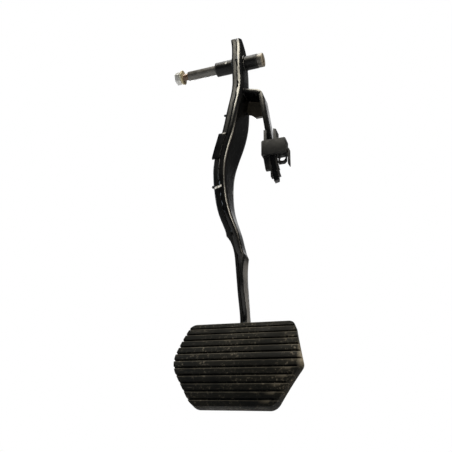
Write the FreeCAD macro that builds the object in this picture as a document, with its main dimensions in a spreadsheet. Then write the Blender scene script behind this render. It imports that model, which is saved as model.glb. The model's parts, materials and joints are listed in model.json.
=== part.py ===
# Hanging brake pedal: pressed two-shell arm on a bolted pivot, with a wide ribbed rubber pad.
# X runs along the pivot axis, the driver sits on the -Y side, +Z is up, sizes are millimetres.
import FreeCAD
import Part
import Sketcher
import math
import os
import re

doc = FreeCAD.newDocument("brake_pedal")
ALONG_X = FreeCAD.Vector(1, 0, 0)
ACROSS = FreeCAD.Vector(0, 1, 0)
PARALLEL = 0.999
TOUCH = 0.01

# Driving sizes, one named cell each
SIZES = [
    ("bolt_radius", 4.0),
    ("bolt_length", 98.0),
    ("bolt_recess", 2.0),
    ("hex_across_flats", 13.0),
    ("hex_height", 6.5),
    ("flange_radius", 8.5),
    ("flange_thickness", 2.6),
    ("bolt_clearance", 0.15),
    ("sleeve_radius", 5.5),
    ("sleeve_overhang", 36.3),
    ("collar_radius", 7.8),
    ("collar_length", 6.6),
    ("bush_clearance", 0.05),
    ("bush_wall", 1.0),
    ("bush_flange", 1.5),
    ("bush_length", 12.0),
    ("end_play", 0.3),
    ("tube_wall", 1.5),
    ("tube_left", 27.0),
    ("tube_right", 20.0),
    ("weld_gap", 0.05),
    ("sheet", 3.3),
    ("shell_depth", 6.4),
    ("left_radius", 2.4),
    ("right_radius", 4.4),
    ("seam_width", 0.45),
    ("seam_depth", 1.4),
    ("bar_radius", 1.0),
    ("top_cut_rear", 4.0),
    ("strap_thickness", 4.6),
    ("strap_width", 20.0),
    ("strap_front", 11.0),
    ("shelf_drop", 17.0),
    ("strap_lean", 8.5),
    ("bend_x", 29.5),
    ("bend_height", 49.5),
    ("bend_radius", 4.5),
    ("strap_length", 114.0),
    ("tip_flat", 6.0),
    ("tip_taper", 22.0),
    ("web_thickness", 3.5),
    ("web_height", 17.0),
    ("web_lap", 0.5),
    ("web_taper", 10.0),
    ("clip_top", 116.5),
    ("clip_height", 17.0),
    ("clip_width", 25.5),
    ("clip_x", 42.4),
    ("clip_wall", 3.6),
    ("clip_grip", 8.0),
    ("clip_clearance", 0.2),
    ("ear_height", 12.5),
    ("ear_thickness", 3.0),
    ("ear_spread", 7.2),
    ("ear_slope", 1.0),
    ("ear_shift", 4.2),
    ("clip_corner", 1.2),
    ("leg_length", 15.0),
    ("leg_width", 8.4),
    ("leg_inset", 0.6),
    ("leg_taper", 2.4),
    ("leg_setback", 5.0),
    ("leg_thickness", 4.0),
    ("window_leg_length", 9.2),
    ("window_radius", 3.2),
    ("window_drop", 3.9),
    ("rail_width", 1.6),
    ("rail_depth", 6.0),
    ("barb", 1.0),
    ("barb_pitch", 8.0),
    ("fin_reach", 2.6),
    ("fin_thickness", 1.6),
    ("fin_rise", 7.0),
    ("fin_drop", 13.5),
    ("fin_width", 6.0),
    ("pad_radius", 120.0),
    ("pad_y", 14.5),
    ("pad_drop", 335.0),
    ("pad_tilt", 18.0),
    ("pad_x", 4.5),
    ("pad_top_width", 101.0),
    ("pad_apex_width", 122.0),
    ("pad_foot_width", 75.0),
    ("pad_apex_rise", -4.0),
    ("pad_height", 79.0),
    ("pad_corner", 7.0),
    ("foot_round", 11.0),
    ("apex_round", 26.0),
    ("corner_share", 0.4),
    ("tread_thickness", 5.2),
    ("plate_thickness", 2.8),
    ("lip_thickness", 1.6),
    ("lip_width", 7.0),
    ("rim_thickness", 3.5),
    ("plate_clearance", 0.1),
    ("groove_pitch", 6.9),
    ("groove_width", 1.9),
    ("groove_depth", 2.4),
    ("tread_border", 2.5),
    ("arm_notch", 2.0),
    ("notch_height", 21.0),
]

# Arm stations from the top down: height, seam x, front face y, front-to-back depth
STATIONS = [
    ("crown", 30.0, -2.2, -11.0, 25.0),
    ("eye", 0.0, -0.2, -12.0, 26.0),
    ("nape", -22.0, 1.2, -12.8, 26.8),
    ("waist", -48.0, 1.4, -15.2, 31.0),
    ("heel", -76.0, -1.8, -19.4, 43.0),
    ("shoulder", -106.0, -6.4, -21.8, 41.5),
    ("elbow", -135.0, -12.6, -22.8, 37.0),
    ("shin", -158.0, -13.2, -22.2, 32.0),
    ("bow", -182.0, -11.0, -18.4, 26.5),
    ("turn", -202.0, -6.2, -11.4, 21.8),
    ("ankle", -214.0, -3.4, -6.4, 21.4),
    ("neck", -232.0, 0.0, 1.4, 22.0),
    ("bar", -248.0, 0.2, 6.4, 20.0),
    ("stem", -275.0, 0.6, 13.8, 17.0),
    ("root", -298.0, 1.1, 18.4, 16.4),
    ("foot", -316.0, 1.3, 1.8, 35.7),
    ("toe", -338.0, 1.4, -8.2, 39.2),
]
STATION_SIZES = ("z", "seam", "front", "depth")
U_END_LEFT = "ankle"
U_END_RIGHT = "neck"

for station, *numbers in STATIONS:
    for kind, number in zip(STATION_SIZES, numbers):
        SIZES.append((f"{station}_{kind}", number))

sheet = doc.addObject("Spreadsheet::Sheet", "Sizes")
for row, (alias, number) in enumerate(SIZES, start=1):
    sheet.set(f"A{row}", alias)
    sheet.set(f"B{row}", str(number))
    sheet.setAlias(f"B{row}", alias)
doc.recompute()
ALIASES = {alias for alias, number in SIZES}


def bound(expression):
    """The expression with each size written as a cell of the sheet."""
    def cell(match):
        word = match.group()
        return f"Sizes.{word}" if word in ALIASES else word
    return re.sub(r"[a-z][a-z_0-9]*", cell, expression)


def value(expression):
    """The number that an expression of sizes gives now."""
    return float(sheet.evalExpression(expression))


def bind(thing, name, expression):
    thing.setExpression(name, bound(expression))


def turn_and_move(thing, x, y, z, angle):
    """Binds the place of a piece that is turned about X and then moved."""
    bind(thing, "Placement", f"placement(vector({x}; {y}; {z}); rotation(vector(1; 0; 0); {angle}))")


# Sketch helpers: every corner and radius is bound to the sheet
def new_body(label):
    body = doc.addObject("PartDesign::Body", label)
    body.Label = label
    return body


def new_sketch(body, name, role, offset="0"):
    sketch = body.newObject("Sketcher::SketchObject", name)
    plane = [plane for plane in body.Origin.OriginFeatures if plane.Role == role][0]
    sketch.AttachmentSupport = [(plane, "")]
    sketch.MapMode = "FlatFace"
    bind(sketch, "AttachmentOffset.Base.z", offset)
    return sketch


def place_point(sketch, element, point, x, y):
    for kind, expression in (("DistanceX", x), ("DistanceY", y)):
        rule = Sketcher.Constraint(kind, -1, 1, element, point, value(expression))
        number = sketch.addConstraint(rule)
        bind(sketch, f"Constraints[{number}]", expression)


def polygon(sketch, corners):
    points = [FreeCAD.Vector(value(x), value(y), 0) for x, y in corners]
    lines = []
    for start, end in zip(points, points[1:] + points[:1]):
        lines.append(sketch.addGeometry(Part.LineSegment(start, end), False))
    for line, following in zip(lines, lines[1:] + lines[:1]):
        sketch.addConstraint(Sketcher.Constraint("Coincident", line, 2, following, 1))
    for line, (x, y) in zip(lines, corners):
        place_point(sketch, line, 1, x, y)


def circle(sketch, x, y, radius):
    centre = FreeCAD.Vector(value(x), value(y), 0)
    ring = sketch.addGeometry(Part.Circle(centre, FreeCAD.Vector(0, 0, 1), value(radius)), False)
    place_point(sketch, ring, 3, x, y)
    number = sketch.addConstraint(Sketcher.Constraint("Radius", ring, value(radius)))
    bind(sketch, f"Constraints[{number}]", radius)


def pad(body, sketch, length, both_sides=True):
    feature = body.newObject("PartDesign::Pad", f"{sketch.Name}_pad")
    feature.Profile = sketch
    bind(feature, "Length", length)
    feature.Midplane = both_sides
    doc.recompute()
    return feature


def pocket(body, sketch, length):
    before = body.Shape.Volume
    feature = body.newObject("PartDesign::Pocket", f"{sketch.Name}_pocket")
    feature.Profile = sketch
    bind(feature, "Length", length)
    feature.Midplane = True
    doc.recompute()
    if body.Shape.Volume >= before:
        raise RuntimeError(f"{sketch.Name} cuts nothing")
    return feature


def turned(label, profile):
    """A piece turned about the pivot axis; the profile's corners are x and radius."""
    body = new_body(label)
    sketch = new_sketch(body, f"{label}_profile", "XY_Plane")
    polygon(sketch, profile)
    turn = body.newObject("PartDesign::Revolution", f"{label}_turn")
    turn.Profile = sketch
    turn.ReferenceAxis = (sketch, ["H_Axis"])
    turn.Angle = 360.0
    doc.recompute()
    return body


def edges_along(body, direction, inside):
    """Names of straight edges along a direction whose middle passes the test."""
    names = []
    for number, edge in enumerate(body.Shape.Edges, start=1):
        if edge.Curve.TypeId != "Part::GeomLine":
            continue
        along = abs(edge.Curve.Direction.dot(direction))
        if along > PARALLEL and inside(edge.CenterOfMass):
            names.append(f"Edge{number}")
    return names


def near(middle, point):
    """Whether an edge's middle lies on a point of a profile in X and Z."""
    x, z = point
    return abs(middle.x - value(x)) < TOUCH and abs(middle.z - value(z)) < TOUCH


def fillet(body, names, radius):
    base = body.Tip
    feature = body.newObject("PartDesign::Fillet", f"{body.Name}_round_{len(body.Group)}")
    feature.Base = (base, names)
    bind(feature, "Radius", radius)
    doc.recompute()
    return feature


# Pivot: collared sleeve, flange bolt, welded tube and its two flanged bushes
BORE = "bolt_radius + bolt_clearance"
COLLAR_LEFT = "tube_right + bush_flange + end_play"
COLLAR_RIGHT = f"{COLLAR_LEFT} + collar_length"
SLEEVE_LEFT = "-(tube_left + bush_flange + sleeve_overhang)"
BOLT_END = f"{COLLAR_RIGHT} - bolt_recess"
FLANGE_RIGHT = f"{BOLT_END} - bolt_length"
FLANGE_LEFT = f"{FLANGE_RIGHT} - flange_thickness"
BUSH_BORE = "sleeve_radius + bush_clearance"
BUSH_OUTSIDE = f"{BUSH_BORE} + bush_wall"
TUBE_OUTSIDE = f"{BUSH_OUTSIDE} + tube_wall"

spacer_sleeve = turned("spacer_sleeve", [
    (SLEEVE_LEFT, BORE),
    (SLEEVE_LEFT, "sleeve_radius"),
    (COLLAR_LEFT, "sleeve_radius"),
    (COLLAR_LEFT, "collar_radius"),
    (COLLAR_RIGHT, "collar_radius"),
    (COLLAR_RIGHT, BORE),
])
pivot_bolt = turned("pivot_bolt", [
    (FLANGE_LEFT, "0"),
    (FLANGE_LEFT, "flange_radius - flange_thickness / 2"),
    (f"{FLANGE_RIGHT} - flange_thickness / 2", "flange_radius"),
    (FLANGE_RIGHT, "flange_radius"),
    (FLANGE_RIGHT, "bolt_radius"),
    (BOLT_END, "bolt_radius"),
    (BOLT_END, "0"),
])
hexagon = new_sketch(pivot_bolt, "hexagon", "YZ_Plane", FLANGE_LEFT)
polygon(hexagon, [
    (f"hex_across_flats / sqrt(3) * cos({60 * side})",
     f"hex_across_flats / sqrt(3) * sin({60 * side})")
    for side in range(6)
])
hex_head = pad(pivot_bolt, hexagon, "hex_height", both_sides=False)
hex_head.Reversed = True

pivot_tube = turned("pivot_tube", [
    ("-tube_left", BUSH_OUTSIDE),
    ("-tube_left", TUBE_OUTSIDE),
    ("tube_right", TUBE_OUTSIDE),
    ("tube_right", BUSH_OUTSIDE),
])
for label, end, outward in (("bush_left", "-tube_left", -1), ("bush_right", "tube_right", 1)):
    flange_face = f"{end} + {outward} * bush_flange"
    inner_end = f"{end} - {outward} * bush_length"
    turned(label, [
        (flange_face, BUSH_BORE),
        (flange_face, TUBE_OUTSIDE),
        (end, TUBE_OUTSIDE),
        (end, BUSH_OUTSIDE),
        (inner_end, BUSH_OUTSIDE),
        (inner_end, BUSH_BORE),
    ])

# Pad frame: the tread is a cylinder about an axis behind the pad
PAD_AXIS_Y = "pad_radius * cos(pad_tilt) - pad_y"
PAD_AXIS_Z = "-pad_drop - pad_radius * sin(pad_tilt)"
PLATE_FRONT = "pad_radius - tread_thickness"
PLATE_BACK = f"{PLATE_FRONT} - plate_thickness"
LIP_BACK = f"{PLATE_BACK} - plate_clearance - lip_thickness"


def cylinder_along_x(name, radius, reach):
    drum = doc.addObject("Part::Cylinder", name)
    bind(drum, "Radius", radius)
    bind(drum, "Height", reach)
    drum.Placement.Rotation = FreeCAD.Rotation(FreeCAD.Vector(0, 1, 0), 90)
    bind(drum, "Placement.Base.x", f"-({reach}) / 2")
    return drum


def barrel_prism(name, inset):
    """The pad's barrel outline, drawn in along all sides, run out past the tread."""
    body = new_body(name)
    sketch = new_sketch(body, f"{name}_outline", "XZ_Plane")
    top = f"pad_height / 2 - ({inset})"
    half_top = f"pad_top_width / 2 - ({inset})"
    half_apex = f"pad_apex_width / 2 - ({inset})"
    half_foot = f"pad_foot_width / 2 - ({inset})"
    left_foot = (f"-({half_foot})", f"-({top})")
    right_foot = (half_foot, f"-({top})")
    right_apex = (half_apex, "pad_apex_rise")
    right_top = (half_top, top)
    left_top = (f"-({half_top})", top)
    left_apex = (f"-({half_apex})", "pad_apex_rise")
    polygon(sketch, [left_foot, right_foot, right_apex, right_top, left_top, left_apex])
    pad(body, sketch, "2 * pad_radius", both_sides=False)
    for radius, corners in (
        ("pad_corner", (right_apex, right_top, left_top)),
        ("foot_round", (left_foot, right_foot)),
        ("apex_round", (left_apex,)),
    ):
        names = edges_along(body, ACROSS, lambda middle: any(near(middle, corner) for corner in corners))
        fillet(body, names, f"{radius} - ({inset}) * corner_share")
    return body


def curved_slab(name, inner, outer, inset):
    """A barrel outlined slab between two radii of the tread's own curve."""
    prism = barrel_prism(f"{name}_prism", inset)
    outside = doc.addObject("Part::Common", f"{name}_outside")
    outside.Base = prism
    outside.Tool = cylinder_along_x(f"{name}_outer", outer, "pad_apex_width * 2")
    slab = doc.addObject("Part::Cut", name)
    slab.Base = outside
    slab.Tool = cylinder_along_x(f"{name}_inner", inner, "pad_apex_width * 2")
    doc.recompute()
    return slab


def fuse(name, pieces):
    joined = doc.addObject("Part::MultiFuse", name)
    joined.Shapes = pieces
    doc.recompute()
    return joined


def cut(name, base, tool):
    result = doc.addObject("Part::Cut", name)
    result.Base = base
    result.Tool = tool
    doc.recompute()
    return result


# Grooves across the tread; those below the apex stop at the smooth border on the right
GROOVES = 11


def groove(number):
    angle = f"({number} - {(GROOVES - 1) / 2}) * groove_pitch / pad_radius * 180 / pi"
    height = f"pad_radius * sin({angle})"
    slope = "(pad_apex_width - pad_foot_width) / 2 / (pad_height / 2 + pad_apex_rise)"
    right_edge = f"pad_apex_width / 2 - (pad_apex_rise - {height}) * {slope}"
    right_end = "pad_apex_width"
    if value(height) < value("pad_apex_rise"):
        right_end = f"{right_edge} - tread_border"
    slot = doc.addObject("Part::Box", f"groove_{number}")
    bind(slot, "Length", f"pad_apex_width + {right_end}")
    bind(slot, "Width", "groove_depth * 2")
    bind(slot, "Height", "groove_width")
    reach = "pad_radius + groove_depth"
    turn_and_move(
        slot, "-pad_apex_width",
        f"-({reach}) * cos({angle}) - groove_width / 2 * sin({angle})",
        f"({reach}) * sin({angle}) - groove_width / 2 * cos({angle})",
        f"-({angle})")
    return slot


# Rubber pad wrapped round the curved steel plate
pedal_plate = curved_slab("pedal_plate", PLATE_BACK, PLATE_FRONT, "rim_thickness + plate_clearance")
pad_blank = curved_slab("pad_blank", LIP_BACK, "pad_radius", "0")
plate_seat = curved_slab(
    "plate_seat", f"{PLATE_BACK} - plate_clearance", f"{PLATE_FRONT} + plate_clearance", "rim_thickness")
back_mouth = curved_slab(
    "back_mouth", f"{LIP_BACK} - lip_thickness", f"{PLATE_BACK} + plate_clearance",
    "rim_thickness + lip_width")
arm_gap = doc.addObject("Part::Box", "arm_gap")
bind(arm_gap, "Length", "2 * sheet + 2 * arm_notch")
bind(arm_gap, "Width", "notch_height")
bind(arm_gap, "Height", "2 * notch_height")
bind(arm_gap, "Placement.Base.x", "root_seam - pad_x - sheet - arm_notch")
bind(arm_gap, "Placement.Base.y", f"-({PLATE_BACK})")
bind(arm_gap, "Placement.Base.z", "pad_height / 2 - notch_height")
grooves = [groove(number) for number in range(GROOVES)]
hollow = fuse("pad_hollow", [plate_seat, back_mouth, arm_gap] + grooves)
pad_cover = cut("pad_cover", pad_blank, hollow)
for piece in (pedal_plate, pad_cover):
    turn_and_move(piece, "pad_x", PAD_AXIS_Y, PAD_AXIS_Z, "-pad_tilt")

# Arm: two pressed half shells, hollow above and closed flat into a bar below
LOFT_DEGREE = 3
REACH = value("pad_apex_width")
PAD_AXIS = FreeCAD.Vector(-REACH, value(PAD_AXIS_Y), value(PAD_AXIS_Z))


def corner_arc(start, end, bulge):
    """A rounded corner from start to end, bulging towards the sharp corner."""
    middle = (start + end) * 0.5
    chord = (end - start).Length
    out = (bulge - middle).normalize()
    top = middle + out * (chord / 2) * (math.sqrt(2) - 1)
    return Part.Arc(start, top, end).toShape()


def section(station, side, depth, radius, hollow_inside):
    """One closed section of a half shell; side is -1 left, +1 right of the seam."""
    z, seam, front, length = (value(f"{station}_{kind}") for kind in STATION_SIZES)
    rear = front + length
    face = seam + side * depth
    wall = value("sheet")

    def at(x, y):
        return FreeCAD.Vector(x, y, z)

    shoulder = face - side * radius
    seam_front = front + value("seam_depth")
    groove_edge = seam + side * value("seam_width")
    edges = [
        Part.LineSegment(at(seam, seam_front), at(groove_edge, front)).toShape(),
        Part.LineSegment(at(groove_edge, front), at(shoulder, front)).toShape(),
        corner_arc(at(shoulder, front), at(face, front + radius), at(face, front)),
        Part.LineSegment(at(face, front + radius), at(face, rear - radius)).toShape(),
        corner_arc(at(face, rear - radius), at(shoulder, rear), at(face, rear)),
        Part.LineSegment(at(shoulder, rear), at(seam, rear)).toShape(),
    ]
    back = [at(seam, rear), at(seam, seam_front)]
    if hollow_inside:
        inner = face - side * wall
        back[1:1] = [
            at(seam, rear - wall),
            at(inner, rear - wall),
            at(inner, front + wall),
            at(seam, front + wall),
        ]
    for start, end in zip(back, back[1:]):
        edges.append(Part.LineSegment(start, end).toShape())
    return Part.Wire(edges)


def loft(sections):
    """A smooth solid through the sections, of low degree so that it doesn't swing past them."""
    return Part.makeLoft(sections, True, False, False, LOFT_DEGREE)


def drum_along_x(radius, centre):
    return Part.makeCylinder(value(radius), 2 * REACH, centre, ALONG_X)


def arm_openings():
    """What is cut from both halves: the tube's hole, the slanted top corner, the room for the plate."""
    tube_hole = drum_along_x(f"{TUBE_OUTSIDE} + weld_gap", FreeCAD.Vector(-REACH, 0, 0))
    front = value("crown_front")
    slant = [
        FreeCAD.Vector(-REACH, front + value("right_radius"), value("crown_z")),
        FreeCAD.Vector(-REACH, front + REACH, value("crown_z")),
        FreeCAD.Vector(-REACH, front + REACH, value("top_cut_rear")),
        FreeCAD.Vector(-REACH, front + value("crown_depth"), value("top_cut_rear")),
    ]
    top_corner = Part.Face(Part.makePolygon(slant + slant[:1])).extrude(ALONG_X * 2 * REACH)
    ahead_of_plate = drum_along_x(f"{PLATE_BACK} + pad_height", PAD_AXIS)
    ahead_of_plate = ahead_of_plate.cut(drum_along_x(PLATE_BACK, PAD_AXIS))
    foot_corner = FreeCAD.Vector(-REACH, -REACH, value("root_z") - 2 * REACH)
    foot_room = Part.makeBox(2 * REACH, 2 * REACH, 2 * REACH, foot_corner)
    return [tube_hole, top_corner, ahead_of_plate.common(foot_room)]


def half_shell(label, side, radius, last_hollow, beside=()):
    """One pressed half of the arm, trimmed along the seam to the half already beside it."""
    names = [station[0] for station in STATIONS]
    split = names.index(last_hollow)
    deep = value("shell_depth")
    bend = value(radius)
    upper = [section(name, side, deep, bend, True) for name in names[:split + 1]]
    lower = [section(last_hollow, side, deep, bend, False)]
    for name in names[split + 1:]:
        lower.append(section(name, side, value("sheet"), value("bar_radius"), False))
    shape = loft(upper).fuse(loft(lower))
    for tool in arm_openings() + [half.Shape for half in beside]:
        shape = shape.cut(tool)
    shell = doc.addObject("Part::Feature", label)
    shell.Label = label
    shell.Shape = shape.removeSplitter()
    return shell


arm_right_shell = half_shell("arm_right_shell", 1, "right_radius", U_END_RIGHT)
arm_left_shell = half_shell("arm_left_shell", -1, "left_radius", U_END_LEFT, [arm_right_shell])

# Push-rod bracket: a strap bent down from a shelf on the arm's right side, with a web behind
STRAP_MIDDLE = "strap_front - strap_width / 2"
SHELF_LENGTH = "(bend_x - waist_seam - shell_depth + sheet / 2) / cos(shelf_drop)"
THICK = "strap_thickness / (1 + sin(shelf_drop + strap_lean))"
BEND_OUT = ("bend_x", "-bend_height")
BEND_IN = (
    f"bend_x - {THICK} * (sin(shelf_drop) + cos(strap_lean))",
    f"-bend_height - {THICK} * (cos(shelf_drop) + sin(strap_lean))",
)
SHELF_END = (
    f"bend_x - {SHELF_LENGTH} * cos(shelf_drop)",
    f"-bend_height + {SHELF_LENGTH} * sin(shelf_drop)",
)


def on_strap(distance):
    """A point of the strap's outer face, that far down from the bend."""
    return (f"bend_x + ({distance}) * sin(strap_lean)", f"-bend_height - ({distance}) * cos(strap_lean)")


def beside_strap(point, distance):
    """A point moved square to the strap, towards the arm."""
    x, z = point
    return (f"{x} - ({distance}) * cos(strap_lean)", f"{z} - ({distance}) * sin(strap_lean)")


TIP = on_strap("strap_length")


bent_strap = new_body("bent_strap")
strap = new_sketch(bent_strap, "strap", "XZ_Plane", STRAP_MIDDLE)
polygon(strap, [
    SHELF_END,
    BEND_OUT,
    TIP,
    beside_strap(TIP, "strap_thickness"),
    BEND_IN,
    (SHELF_END[0], f"{SHELF_END[1]} - strap_thickness / cos(shelf_drop)"),
])
pad(bent_strap, strap, "strap_width")
outer_bend = edges_along(bent_strap, ACROSS, lambda middle: near(middle, BEND_OUT))
fillet(bent_strap, outer_bend, "bend_radius + strap_thickness")
inner_bend = edges_along(bent_strap, ACROSS, lambda middle: near(middle, BEND_IN))
fillet(bent_strap, inner_bend, "bend_radius")
WEB_MIDDLE = f"{STRAP_MIDDLE} - strap_width / 2 - web_thickness / 2 + web_lap"
web = new_sketch(bent_strap, "web", "XZ_Plane", WEB_MIDDLE)
WEB_FOOT = f"{BEND_IN[1]} - web_height"
polygon(web, [
    (SHELF_END[0], f"{SHELF_END[1]} - strap_thickness / 2"),
    (f"{BEND_IN[0]} + strap_thickness / 2", f"{BEND_IN[1]} + strap_thickness / 2"),
    (f"{BEND_IN[0]} + strap_thickness / 2 + web_height * tan(strap_lean)", WEB_FOOT),
    (f"{SHELF_END[0]} + web_taper", WEB_FOOT),
    (SHELF_END[0], f"{WEB_FOOT} + web_height / 2"),
])
pad(bent_strap, web, "web_thickness")
STRAP_REAR = "strap_width - strap_front"
tip_slant = new_sketch(bent_strap, "tip_slant", "YZ_Plane")
polygon(tip_slant, [
    ("tip_flat - strap_front", TIP[1]),
    (STRAP_REAR, f"{TIP[1]} + tip_taper"),
    (STRAP_REAR, f"{TIP[1]} - strap_thickness"),
    ("tip_flat - strap_front", f"{TIP[1]} - strap_thickness"),
])
pocket(bent_strap, tip_slant, f"4 * ({TIP[0]})")
push_rod_bracket = cut("push_rod_bracket", bent_strap, arm_right_shell)

# Moulded clip that grips the strap for the push rod: block with two ears
CLIP_LEFT = "clip_x - clip_width / 2"
CLIP_RIGHT = "clip_x + clip_width / 2"
CLIP_FOOT = "-clip_top - clip_height"
CLIP_DEPTH = "clip_wall + clip_grip"
CLIP_MIDDLE = f"strap_front + clip_wall - ({CLIP_DEPTH}) / 2"
EAR_TOP = "-clip_top + ear_height"
LEFT_EAR = "clip_x - ear_spread"
RIGHT_EAR = "clip_x + ear_spread - ear_thickness - ear_shift"

push_rod_clip = new_body("push_rod_clip")
block = new_sketch(push_rod_clip, "clip_block", "XZ_Plane", CLIP_MIDDLE)
polygon(block, [
    (CLIP_LEFT, "-clip_top - clip_corner"),
    (f"{CLIP_LEFT} + clip_corner", "-clip_top"),
    (f"{LEFT_EAR} - ear_thickness", "-clip_top"),
    (f"{LEFT_EAR} - ear_thickness", EAR_TOP),
    (LEFT_EAR, f"{EAR_TOP} - ear_slope"),
    (LEFT_EAR, "-clip_top"),
    (RIGHT_EAR, "-clip_top"),
    (RIGHT_EAR, EAR_TOP),
    (f"{RIGHT_EAR} + ear_thickness", f"{EAR_TOP} - ear_slope"),
    (f"{RIGHT_EAR} + ear_thickness", "-clip_top"),
    (f"{CLIP_RIGHT} - clip_corner", "-clip_top"),
    (CLIP_RIGHT, "-clip_top - clip_corner"),
    (CLIP_RIGHT, CLIP_FOOT),
    (CLIP_LEFT, CLIP_FOOT),
])
pad(push_rod_clip, block, CLIP_DEPTH)

# Two thin legs under the block, set back from its front
LEG_MIDDLE = "strap_front + clip_wall - leg_setback - leg_thickness / 2"
LEG_ROOT = f"{CLIP_FOOT} + leg_setback"
LEFT_LEG = f"{CLIP_LEFT} + leg_inset"
RIGHT_LEG = f"{CLIP_RIGHT} - leg_inset"
LEFT_FOOT = f"{CLIP_FOOT} - leg_length"
RIGHT_FOOT = f"{CLIP_FOOT} - window_leg_length"
left_leg = new_sketch(push_rod_clip, "left_leg", "XZ_Plane", LEG_MIDDLE)
polygon(left_leg, [
    (LEFT_LEG, LEG_ROOT),
    (f"{LEFT_LEG} + leg_width", LEG_ROOT),
    (f"{LEFT_LEG} + leg_width", LEFT_FOOT),
    (f"{LEFT_LEG} + leg_taper", LEFT_FOOT),
    (LEFT_LEG, CLIP_FOOT),
])
pad(push_rod_clip, left_leg, "leg_thickness")
right_leg = new_sketch(push_rod_clip, "right_leg", "XZ_Plane", LEG_MIDDLE)
polygon(right_leg, [
    (f"{RIGHT_LEG} - leg_width", LEG_ROOT),
    (RIGHT_LEG, LEG_ROOT),
    (RIGHT_LEG, f"{RIGHT_FOOT} + leg_taper"),
    (f"{RIGHT_LEG} - leg_taper", RIGHT_FOOT),
    (f"{RIGHT_LEG} - leg_width", RIGHT_FOOT),
])
pad(push_rod_clip, right_leg, "leg_thickness")

# Barbed rails that run down both sides of the strap
BARBS = 4
RAIL_START = "(clip_top + clip_height / 2 - bend_height) / cos(strap_lean)"
outer_side = []
inner_side = []
for number in range(BARBS):
    neck = on_strap(f"{RAIL_START} + {number} * barb_pitch")
    hook = on_strap(f"{RAIL_START} + {number + 1} * barb_pitch")
    outer_side += [beside_strap(neck, "-rail_width"), beside_strap(hook, "-rail_width - barb")]
    inner_side += [
        beside_strap(neck, "strap_thickness + rail_width"),
        beside_strap(hook, "strap_thickness + rail_width + barb"),
    ]
rails = new_sketch(push_rod_clip, "rails", "XZ_Plane", "strap_front - rail_depth / 2")
polygon(rails, outer_side + inner_side[::-1])
pad(push_rod_clip, rails, "rail_depth")

# Hooked fin on the outer side
FIN_RIGHT = f"{CLIP_RIGHT} + fin_reach"
fin = new_sketch(push_rod_clip, "fin", "XZ_Plane", "strap_front - fin_width / 2")
polygon(fin, [
    (f"{CLIP_RIGHT} - fin_thickness", f"{CLIP_FOOT} + fin_rise"),
    (FIN_RIGHT, f"{CLIP_FOOT} + fin_rise - fin_thickness"),
    (FIN_RIGHT, f"{CLIP_FOOT} - fin_drop"),
    (f"{FIN_RIGHT} - fin_thickness", f"{CLIP_FOOT} - fin_drop + fin_thickness"),
    (f"{FIN_RIGHT} - fin_thickness", f"{CLIP_FOOT} + fin_rise - 3 * fin_thickness"),
    (f"{CLIP_RIGHT} - fin_thickness", f"{CLIP_FOOT} + fin_rise - 2 * fin_thickness"),
])
pad(push_rod_clip, fin, "fin_width")

# Slot for the strap and the round window in the right leg
slot = new_sketch(push_rod_clip, "strap_slot", "XZ_Plane", STRAP_MIDDLE)
polygon(slot, [
    beside_strap(BEND_OUT, "-clip_clearance"),
    beside_strap(TIP, "-clip_clearance"),
    beside_strap(TIP, "strap_thickness + clip_clearance"),
    beside_strap(BEND_OUT, "strap_thickness + clip_clearance"),
])
pocket(push_rod_clip, slot, "strap_width + 2 * clip_clearance")
window = new_sketch(push_rod_clip, "leg_window", "XZ_Plane", LEG_MIDDLE)
circle(window, f"{RIGHT_LEG} - leg_width / 2", f"{CLIP_FOOT} - window_drop", "window_radius")
pocket(push_rod_clip, window, "2 * leg_thickness")

doc.recompute()
NODES = [
    "spacer_sleeve", "pivot_bolt", "pivot_tube", "bush_left", "bush_right",
    "arm_left_shell", "arm_right_shell", "pedal_plate", "pad_cover",
    "push_rod_bracket", "push_rod_clip",
]

# Every object is sound before anything is written
for thing in doc.Objects:
    faults = [state for state in thing.State if state in ("Invalid", "Error")]
    if faults:
        raise RuntimeError(f"{thing.Label}: {faults}")

os.makedirs("parts", exist_ok=True)
for node in NODES:
    shape = doc.getObject(node).Shape
    if shape.isNull() or not shape.isValid():
        raise RuntimeError(f"{node} is not a sound solid")
    shape.exportStep(f"parts/{node}.step")
    print(node, len(shape.Solids), round(shape.Volume), shape.BoundBox)
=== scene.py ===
# %% [markdown]
# This script dresses a car's hanging brake pedal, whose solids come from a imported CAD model.
# A solid could be modelled again from nothing, but the loaded one already has the right size and place,
# so the lesson adds only what the solids lack: rounded edges, welds, small trim, finishes and light.

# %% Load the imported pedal
import json
import math
import bmesh
import bpy
from mathutils import Matrix, Vector

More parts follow.
